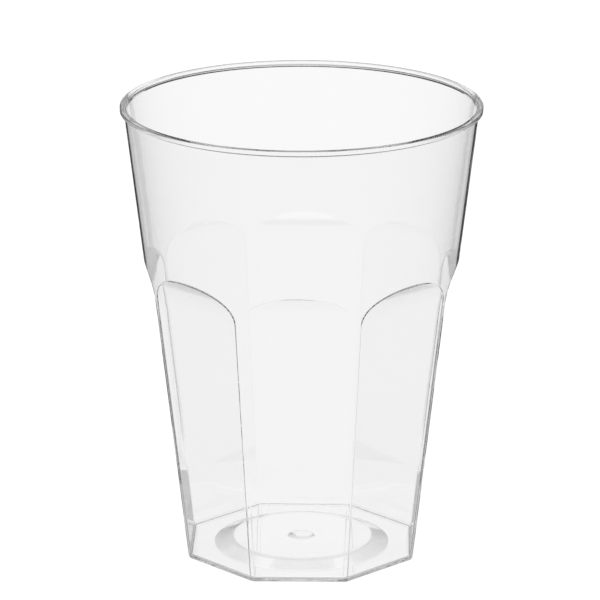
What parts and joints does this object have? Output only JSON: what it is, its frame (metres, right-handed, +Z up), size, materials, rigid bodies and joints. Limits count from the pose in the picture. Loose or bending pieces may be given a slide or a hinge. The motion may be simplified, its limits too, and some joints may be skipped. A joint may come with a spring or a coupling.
{
  "type": "tumbler cup",
  "caption": "Clear plastic drinking tumbler: a conical cup with flat, arched facets around its lower half, a beaded rim and a pushed-up base.",
  "frame": {"origin": "centre of the foot, on the surface that the cup stands on", "axes": "+Z up along the cup's axis, -Y out of the middle of one facet"},
  "size_m": [0.086, 0.086, 0.1104],
  "materials": {
    "clear_plastic": "clear polystyrene, as it comes from a polished mould"
  },
  "bodies": {
    "root": {"tumbler_cup": "clear_plastic"}
  },
  "joints": []
}
